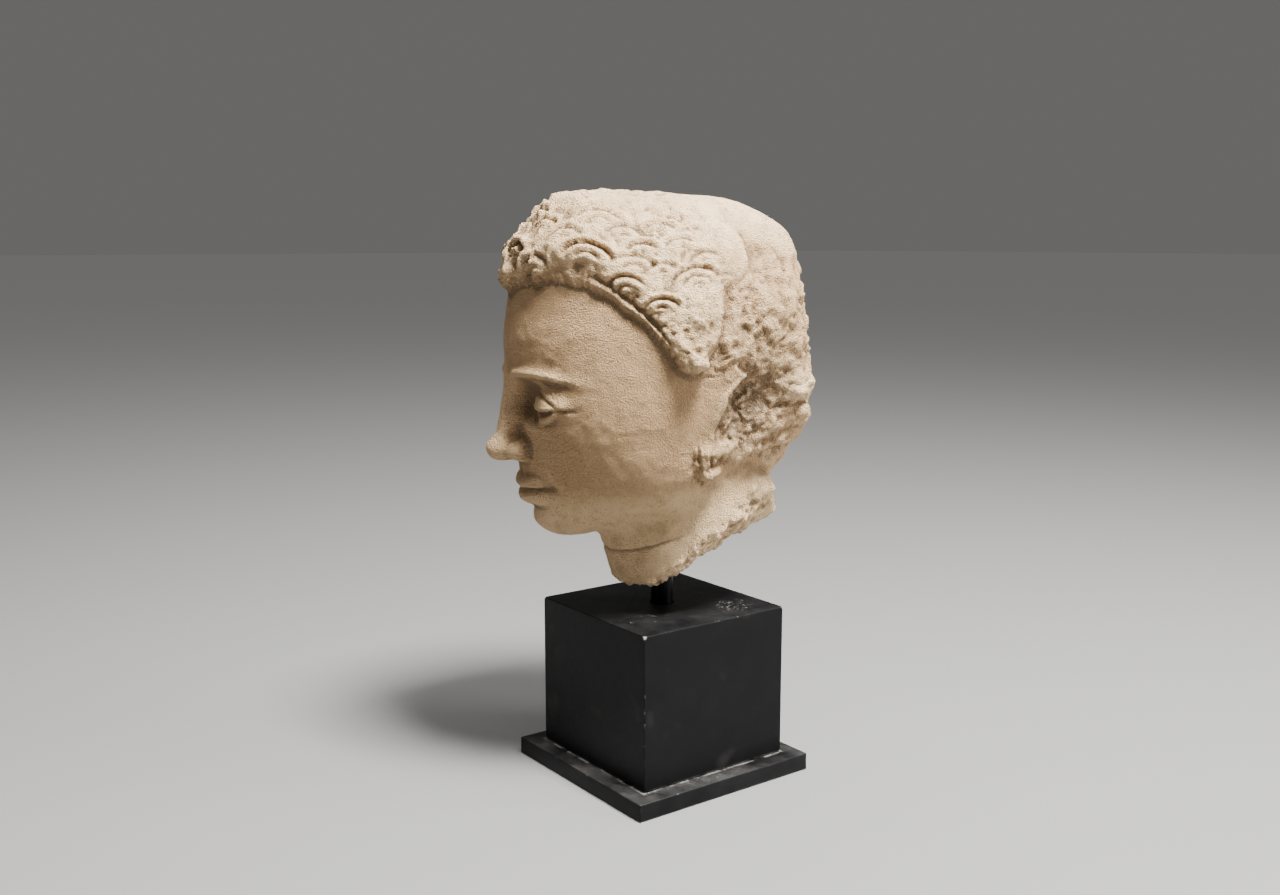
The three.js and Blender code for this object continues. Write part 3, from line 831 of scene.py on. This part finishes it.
def scuffs_group():
    """Dust, swirling scratches and specks for dark satin surfaces."""
    group, nodes, given, made = new_group(
        "dust_and_scratches", ("Facing Up", "Dust", "Scratches"), ("Cover", "Grain"))
    place, up = given.outputs["Place"], given.outputs["Facing Up"]
    clouds = nodes.noise(place, 55, 5, 0.6)
    settled = nodes.plus(nodes.times(up, 0.85), 0.15)
    film = nodes.times(nodes.times(nodes.ramp(clouds, 0.3, 0.8), settled), given.outputs["Dust"])
    swirl = nodes.math("ABSOLUTE", nodes.minus(nodes.noise(place, 190, 1, 0.5), 0.5))
    patch = nodes.ramp(nodes.noise(place, 30, 2, 0.5), 0.5, 0.66)
    lines = nodes.times(nodes.ramp(swirl, 0.008, 0.001), patch)
    lines = nodes.times(lines, nodes.ramp(nodes.noise(place, 260, 2, 0.5), 0.45, 0.62))
    lines = nodes.times(lines, nodes.times(up, given.outputs["Scratches"]))
    dots = nodes.add("ShaderNodeTexVoronoi", Scale=230.0)
    nodes.link(place, dots.inputs["Vector"])
    specks = nodes.times(nodes.ramp(dots.outputs["Distance"], 0.13, 0.05), nodes.ramp(clouds, 0.52, 0.66))
    specks = nodes.times(specks, nodes.times(up, given.outputs["Scratches"]))
    smudge = nodes.times(nodes.ramp(nodes.noise(place, 38, 2, 0.5), 0.62, 0.75), 0.07)
    film = nodes.most(film, nodes.times(smudge, given.outputs["Scratches"]))
    cover = nodes.most(nodes.most(film, lines), specks)
    nodes.link(cover, made.inputs["Cover"])
    nodes.link(nodes.noise(place, 350, 3, 0.5), made.inputs["Grain"])
    return group


def edges_group():
    """Wear along the edges of an upright square board."""
    group, nodes, given, made = new_group(
        "worn_board_edges", ("Half Side", "Bottom", "Top", "Width"), ("Wear", "Foot"))
    split = nodes.add("ShaderNodeSeparateXYZ")
    nodes.link(given.outputs["Place"], split.inputs[0])
    half, width = given.outputs["Half Side"], given.outputs["Width"]
    x, y, z = split.outputs

    def near(value, limit):
        """1 at the limit, 0 one width inside it."""
        inside = nodes.math("DIVIDE", nodes.minus(limit, value), width)
        return nodes.ramp(inside, 1.0, 0.0)

    near_x = near(nodes.math("ABSOLUTE", x), half)
    near_y = near(nodes.math("ABSOLUTE", y), half)
    near_top = near(z, given.outputs["Top"])
    near_bottom = near(nodes.times(z, -1.0), nodes.times(given.outputs["Bottom"], -1.0))
    near_z = nodes.most(near_top, near_bottom)
    along_z = nodes.times(near_x, near_y)
    along_floor = nodes.most(nodes.times(near_y, near_z), nodes.times(near_z, near_x))
    edge = nodes.most(along_z, along_floor)
    chips = nodes.ramp(nodes.noise(given.outputs["Place"], 210, 4, 0.65), 0.56, 0.72)
    nodes.link(nodes.times(edge, chips), made.inputs["Wear"])
    drift = nodes.ramp(nodes.noise(given.outputs["Place"], 160, 3, 0.6), 0.35, 0.6)
    nodes.link(nodes.times(near_bottom, drift), made.inputs["Foot"])
    return group


def facing_up(nodes):
    split = nodes.add("ShaderNodeSeparateXYZ")
    nodes.link(nodes.add("ShaderNodeNewGeometry").outputs["Normal"], split.inputs[0])
    return nodes.ramp(split.outputs["Z"], 0.5, 0.95)


def place_group(nodes, group, values, **links):
    node = nodes.add("ShaderNodeGroup")
    node.node_tree = group
    for name, value in values.items():
        node.inputs[name].default_value = value
    for name, source in links.items():
        nodes.link(source, node.inputs[name.replace("_", " ")])
    return node


def dark_finish(nodes, shader, cover, grain, paint, dust, roughness, bump_height):
    base = nodes.blend(cover, colour(paint), colour(dust))
    nodes.link(base, shader.inputs["Base Color"])
    rough = nodes.plus(nodes.times(cover, 0.5), nodes.times(grain, 0.16))
    nodes.link(nodes.plus(rough, roughness), shader.inputs["Roughness"])
    bump = nodes.add("ShaderNodeBump", Strength=0.2, Distance=bump_height)
    nodes.link(nodes.plus(grain, cover), bump.inputs["Height"])
    nodes.link(bump.outputs[0], shader.inputs["Normal"])


def near_point(nodes, place, point, reach):
    """1 at a point, 0 from its reach outwards."""
    gap = nodes.add("ShaderNodeVectorMath", operation="DISTANCE")
    nodes.link(place, gap.inputs[0])
    gap.inputs[1].default_value = point
    return nodes.ramp(gap.outputs["Value"], reach, 0.4 * reach)


def painted_wood(name, sizes, scuffs, edges, low, high, dust, own_marks):
    """Satin black paint on one board, dusty on top, scratched, rubbed along its edges and marked."""
    material, nodes, shader, place = new_material(name)
    marks = place_group(nodes, scuffs, {"Dust": dust, "Scratches": 0.6},
                        Place=place, Facing_Up=facing_up(nodes))
    limits = {"Half Side": high[0], "Bottom": low[2], "Top": high[2], "Width": 1.2 * MM}
    wear = place_group(nodes, edges, limits, Place=place)
    cover = marks.outputs["Cover"]
    for more in (nodes.times(wear.outputs["Wear"], 0.4), nodes.times(wear.outputs["Foot"], 0.4),
                 *own_marks(nodes, place, low, high)):
        cover = nodes.most(cover, more)
    dark_finish(nodes, shader, cover, marks.outputs["Grain"], sizes.paint, sizes.dust, 0.36, 0.0003)
    shader.inputs["Specular IOR Level"].default_value = 0.12
    return material


def block_marks(nodes, place, low, high):
    """Scoured patches on the block's top, and a pale chip at one corner: bare where the paint is lost, and
    partly a painted highlight.
    """
    scoured = near_point(nodes, place, SCOURED, 15 * MM)
    scoured = nodes.most(scoured, nodes.times(near_point(nodes, place, SCUFFED, 13 * MM), 0.6))
    flecks = nodes.ramp(nodes.noise(place, 420, 4, 0.7), 0.52, 0.68)
    # the pale chipped corner is bare paint loss and partly a painted highlight
    nick_and_highlight = near_point(nodes, place, (high[0], low[1], high[2]), 2.2 * MM)
    return nodes.times(nodes.times(scoured, flecks), 0.5), nick_and_highlight


def slab_marks(nodes, place, low, high):
    """A line of dust where the block stands on the slab."""
    split = nodes.add("ShaderNodeSeparateXYZ")
    nodes.link(place, split.inputs[0])
    x, y, _ = split.outputs
    out = nodes.most(nodes.math("ABSOLUTE", x), nodes.math("ABSOLUTE", y))
    joint = nodes.ramp(out, BLOCK_HIGH[0] + 2.2 * MM, BLOCK_HIGH[0] + 0.6 * MM)
    drift = nodes.ramp(nodes.noise(place, 170, 4, 0.65), 0.38, 0.62)
    return (nodes.times(nodes.times(joint, drift), 0.5),)


def black_steel(sizes, scuffs):
    """Blackened steel with a little dust."""
    material, nodes, shader, place = new_material("blackened_steel")
    marks = place_group(nodes, scuffs, {"Dust": 0.05, "Scratches": 0.3},
                        Place=place, Facing_Up=facing_up(nodes))
    cover, grain = marks.outputs["Cover"], marks.outputs["Grain"]
    dark_finish(nodes, shader, cover, grain, sizes.paint, sizes.dust, 0.28, 0.0002)
    shader.inputs["Metallic"].default_value = 0.7
    return material


def ray_grid(rows, columns, fall, angle):
    """Turns even falls and angles, in degrees, to the crowded ones that the carving needs."""
    ways = spacing(rows, TRAVEL, lambda t: 0.7 + 0.7 * bell(t - 55, 26) + 0.3 * bell(t - 100, 25)
                   + 0.3 * bell(t - 150, 12))
    sideways = spacing(columns, 360, lambda a: 0.7 + 0.55 * bell(a - 85, 62) + 0.3 * bell(a - 20, 20))
    way = np.interp(fall, np.linspace(0, 180, rows + 1), ways)
    angle = np.interp(angle, np.linspace(0, 360, columns + 1), sideways)
    around = np.minimum(angle, 360 - angle)
    way = gathered(way, np.degrees(np.arctan2(EDGE_OUT, hair_edge(around) - HEART[2])), 4)
    level = HEART[2] + EAR_OUT / np.tan(np.radians(np.clip(way, 30, 140)))
    at_ear = mix(angle, gathered(angle, break_edge(level), 6), bell(level, 22))
    return np.where(angle < 180, at_ear, angle), way


def gathered(at, line, reach):
    """Draws the places near a line closer to it, so that a sharp edge there stays sharp."""
    gap = at - line
    return at - 0.5 * gap * bell(gap, reach)


def hollows(mesh, points, normals, rounds):
    """How far each point lies below the smoothed surface around it."""
    count = len(points)
    edges = np.empty(len(mesh.edges) * 2, np.int32)
    mesh.edges.foreach_get("vertices", edges)
    a, b = edges.reshape(-1, 2).T
    neighbours = np.bincount(a, minlength=count) + np.bincount(b, minlength=count)
    smooth = points
    for _ in range(rounds):
        smooth = np.stack([
            (np.bincount(a, smooth[b, i], count) + np.bincount(b, smooth[a, i], count)) / neighbours
            for i in range(3)
        ], 1)
    return ((smooth - points) * normals).sum(1)


def marks_and_painted_light_at(points, raised, sunk):
    """How rubbed pale, stained and greyed the stucco is, and how hollow, for its material, together with
    painted top light on the hair, painted light on the lower neck, painted highlights on raised relief and
    painted shade under the neck.
    """
    x, y, z = points.T
    around = bearing(x, y)
    left = on_left(x)
    bared, _ = side_loss(x, y, z)
    lap = hair_lap(x, y, z)
    crown = lap * rubbed_crown(around, z)
    under = neck_fracture(x, y, z)
    chunk = left * spot(around, z, PALE_LUMP)
    # paler up the hair: partly paler hair, partly painted top light
    upper = lap * ease(-4, 34, z - hair_edge(around))
    # painted light on the lower neck
    lower = 1 - ease(-50, -34, z)
    pale = 0.6 * upper + 0.35 * crown + 0.45 * lower + 0.8 * chunk + 0.25 * under
    # painted highlight on raised relief, partly rubbed stucco
    pale = pale + 0.08 * np.clip(raised, -1.5, 2.5)
    stain = spot(around, z, NAPE_STAIN) + left * spot(around, z, CROWN_STAIN)
    # painted shade under the neck's break, with some real brown stain there; the hollow of the ear is
    # darker grey-brown
    beneath = ease(-2, 0.5, below_neck(x, y, z)) * (z < -30)
    grey = np.maximum(spot(around, z, EAR_DARKENING) * bared, 0.7 * beneath)
    # hollows get painted shade with soil, and crests a painted highlight; both are cut back on the smooth
    # neck below the jaw, away from its ring, its breaks and the bared side
    clean = (1 - bared) * (1 - under) * (1 - neck_ring(y, z, 1, 3.2)) * ease(-40, -52, z)
    sunk = sunk * (1 - 0.85 * clean)
    return np.stack([np.clip(v, 0, 1) for v in (pale, stain, grey, 0.5 + sunk)], 1)


class OBJECT_OT_stucco_head(Operator):
    """Carves the head: a sphere whose points are moved to the carved surface"""
    bl_idname = "object.stucco_head"
    bl_label = "Stucco Head"

    def execute(self, context):
        sizes = context.scene.head_sizes
        deselect_all()
        bpy.ops.mesh.primitive_uv_sphere_add(segments=sizes.columns, ring_count=sizes.rows, radius=1)
        head = context.object
        head.name = head.data.name = "carved_head"
        count = len(head.data.vertices)
        ball = np.empty(count * 3)
        head.data.vertices.foreach_get("co", ball)
        bx, by, bz = ball.reshape(-1, 3).T
        fall = np.degrees(np.arccos(np.clip(bz, -1, 1)))
        angle = np.degrees(np.arctan2(bx, -by)) % 360
        points = surface_points(*ray_grid(sizes.rows, sizes.columns, fall, angle))
        matrix = np.array(head_matrix(sizes))
        placed = points @ matrix[:3, :3].T + matrix[:3, 3]
        head.data.vertices.foreach_set("co", placed.ravel())
        head.data.update()
        normals = np.empty(count * 3)
        head.data.vertex_normals.foreach_get("vector", normals)
        raised = relief(*points.T)
        placed += normals.reshape(-1, 3) * (raised * one_part(sizes))[:, None]
        head.data.vertices.foreach_set("co", placed.ravel())
        head.data.update()
        head.data.vertex_normals.foreach_get("vector", normals)
        facing = normals.reshape(-1, 3)
        narrow, wide = (hollows(head.data, placed, facing, rounds) for rounds in (5, 24))
        # how hollow each point is: the material paints shade with soil into hollows and a highlight onto
        # crests
        sunk = 0.9 * narrow + 0.5 * wide
        # the marks hold rubbing, breaks and stains along with painted light and painted shade
        marks = head.data.color_attributes.new("marks", "FLOAT_COLOR", "POINT")
        marks.data.foreach_set("color", marks_and_painted_light_at(points, raised, sunk / MM).ravel())
        head.data.update()
        bpy.ops.object.shade_smooth()
        head.data.materials.append(stucco_material(sizes))
        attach(head, "root")
        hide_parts("stucco_head")
        return {"FINISHED"}


def chip_corner(board, corner, width):
    """Knocks off one corner of a board."""
    for vertex in board.data.vertices:
        vertex.select = (vertex.co - Vector(corner)).length < 0.1 * MM
    bpy.ops.object.mode_set(mode="EDIT")
    bpy.ops.mesh.select_mode(type="VERT")
    bpy.ops.mesh.bevel(offset=width, segments=1, affect="VERTICES")
    bpy.ops.object.mode_set(mode="OBJECT")


def sink_socket(board, top):
    """Cuts the socket that the post stands in."""
    foot = POST_LOW[2] - SOCKET_CLEARANCE
    deselect_all()
    bpy.ops.mesh.primitive_cylinder_add(
        vertices=64, radius=POST_HIGH[0] + SOCKET_CLEARANCE, depth=2 * (top - foot), location=(0, 0, top))
    cutter = bpy.context.object
    bpy.context.view_layer.objects.active = board
    cut = board.modifiers.new("socket", "BOOLEAN")
    cut.operation = "DIFFERENCE"
    cut.object = cutter
    apply_modifiers(board)
    bpy.data.objects.remove(cutter)


class OBJECT_OT_plinth(Operator):
    """Makes the block and the slab with rounded edges and black paint"""
    bl_idname = "object.display_plinth"
    bl_label = "Plinth"

    def execute(self, context):
        sizes = context.scene.plinth_sizes
        scuffs, edges = scuffs_group(), edges_group()
        boards = (
            ("painted_block", "plinth_block", "block_paint", 0.06, block_marks),
            ("painted_slab", "plinth_slab", "slab_paint", 0.17, slab_marks),
        )
        for name, node, paint, dust, own_marks in boards:
            low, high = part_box(node)
            deselect_all()
            middle = (Vector(low) + Vector(high)) / 2
            bpy.ops.mesh.primitive_cube_add(size=1, location=middle, scale=Vector(high) - Vector(low))
            board = context.object
            board.name = board.data.name = name
            apply_place(board)
            if node == "plinth_block":
                chip_corner(board, (high[0], low[1], high[2]), sizes.chip)
                sink_socket(board, high[2])
            rounding = board.modifiers.new("rounding", "BEVEL")
            rounding.width = sizes.edge
            rounding.segments = 4
            rounding.limit_method = "ANGLE"
            apply_modifiers(board)
            bpy.ops.object.shade_smooth_by_angle(angle=math.radians(40))
            board.data.materials.append(
                painted_wood(paint, sizes, scuffs, edges, low, high, dust, own_marks))
            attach(board, "root")
            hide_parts(node)
        return {"FINISHED"}


class OBJECT_OT_mount_post(Operator):
    """Makes the round steel post with softened ends"""
    bl_idname = "object.mount_post"
    bl_label = "Mount Post"

    def execute(self, context):
        low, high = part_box("mount_post")
        deselect_all()
        bpy.ops.mesh.primitive_cylinder_add(
            vertices=64, radius=(high[0] - low[0]) / 2, depth=high[2] - low[2],
            location=(0, 0, (low[2] + high[2]) / 2))
        post = context.object
        post.name = post.data.name = "steel_post"
        apply_place(post)
        rounding = post.modifiers.new("rounding", "BEVEL")
        rounding.width = 0.5 * MM
        rounding.segments = 3
        apply_modifiers(post)
        bpy.ops.object.shade_smooth_by_angle(angle=math.radians(40))
        scuffs = bpy.data.node_groups.get("dust_and_scratches") or scuffs_group()
        post.data.materials.append(black_steel(context.scene.plinth_sizes, scuffs))
        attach(post, "root")
        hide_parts("mount_post")
        return {"FINISHED"}


class SCENE_OT_studio(Operator):
    """Sets the pale floor, the soft lights and the camera"""
    bl_idname = "scene.studio"
    bl_label = "Studio"

    def execute(self, context):
        sizes = context.scene.stage_sizes
        deselect_all()
        bpy.ops.mesh.primitive_plane_add(size=60)
        floor = context.object
        floor.name = floor.data.name = "studio_floor"
        material, _, shader, _ = new_material("pale_floor")
        shader.inputs["Base Color"].default_value = colour(sizes.floor)
        shader.inputs["Roughness"].default_value = 0.8
        floor.data.materials.append(material)

        world = bpy.data.worlds.new("studio_air")
        world.use_nodes = True
        sky = world.node_tree.nodes["Background"]
        sky.inputs["Color"].default_value = (1.0, 0.99, 0.97, 1)
        sky.inputs["Strength"].default_value = 0.14
        context.scene.world = world

        outward = Vector((math.sin(sizes.azimuth) * math.cos(sizes.elevation),
                          -math.cos(sizes.azimuth) * math.cos(sizes.elevation),
                          math.sin(sizes.elevation)))
        right = Vector((math.cos(sizes.azimuth), math.sin(sizes.azimuth), 0))
        aim = Vector((0, 0, sizes.aim_height)) + right * sizes.aim_right
        bpy.ops.object.camera_add(location=aim + outward * sizes.distance,
                                  rotation=outward.to_track_quat("Z", "Y").to_euler())
        camera = context.object
        camera.name = "photo_camera"
        camera.data.lens = sizes.lens
        camera.data.sensor_width = 36
        camera.data.clip_start = 0.01
        context.scene.camera = camera

        head_middle = Vector((0, 0, 0.22))
        flat_out = Vector((outward.x, outward.y, 0)).normalized()
        # name, way from the head in metres, side in metres, power in watts
        lamps = (
            ("key", right * 0.35 + flat_out * 0.42 + Vector((0, 0, 1.1)), 0.32, 90),
            ("side", right * 1.35 + flat_out * 0.2 + Vector((0, 0, 0.3)), 0.5, 17),
            ("front", right * -1.2 + flat_out * 1.0 + Vector((0, 0, 0.3)), 0.7, 0.5),
        )
        for name, offset, size, power in lamps:
            bpy.ops.object.light_add(type="AREA", location=head_middle + offset,
                                     rotation=offset.to_track_quat("Z", "Y").to_euler())
            lamp = context.object
            lamp.name = name
            lamp.data.size = size
            lamp.data.energy = power
        bpy.ops.object.light_add(type="SUN", location=(0, 0, 3))
        even = context.object
        even.name = "even_light"
        even.data.angle = math.radians(60)
        even.data.energy = 1.5
        return {"FINISHED"}


class VIEW3D_PT_stucco_head(Panel):
    """Lists the pieces and their sizes"""
    bl_label = "Stucco Head"
    bl_space_type = "VIEW_3D"
    bl_region_type = "UI"
    bl_category = "Stucco Head"

    def draw(self, context):
        scene = context.scene
        for group, operator in (
            (scene.head_sizes, OBJECT_OT_stucco_head),
            (scene.plinth_sizes, OBJECT_OT_plinth),
            (scene.plinth_sizes, OBJECT_OT_mount_post),
            (scene.stage_sizes, SCENE_OT_studio),
        ):
            box = self.layout.box()
            box.operator(operator.bl_idname)
            for name in group.__annotations__:
                box.prop(group, name)


CLASSES = (
    HeadSizes, PlinthSizes, StageSizes,
    OBJECT_OT_stucco_head, OBJECT_OT_plinth, OBJECT_OT_mount_post, SCENE_OT_studio,
    VIEW3D_PT_stucco_head,
)


def register():
    for cls in CLASSES:
        bpy.utils.register_class(cls)
    bpy.types.Scene.head_sizes = PointerProperty(type=HeadSizes)
    bpy.types.Scene.plinth_sizes = PointerProperty(type=PlinthSizes)
    bpy.types.Scene.stage_sizes = PointerProperty(type=StageSizes)


def unregister():
    del bpy.types.Scene.head_sizes
    del bpy.types.Scene.plinth_sizes
    del bpy.types.Scene.stage_sizes
    for cls in reversed(CLASSES):
        bpy.utils.unregister_class(cls)


def main():
    register()
    bpy.ops.object.stucco_head()
    bpy.ops.object.display_plinth()
    bpy.ops.object.mount_post()
    bpy.ops.scene.studio()


if __name__ == "__main__":
    main()
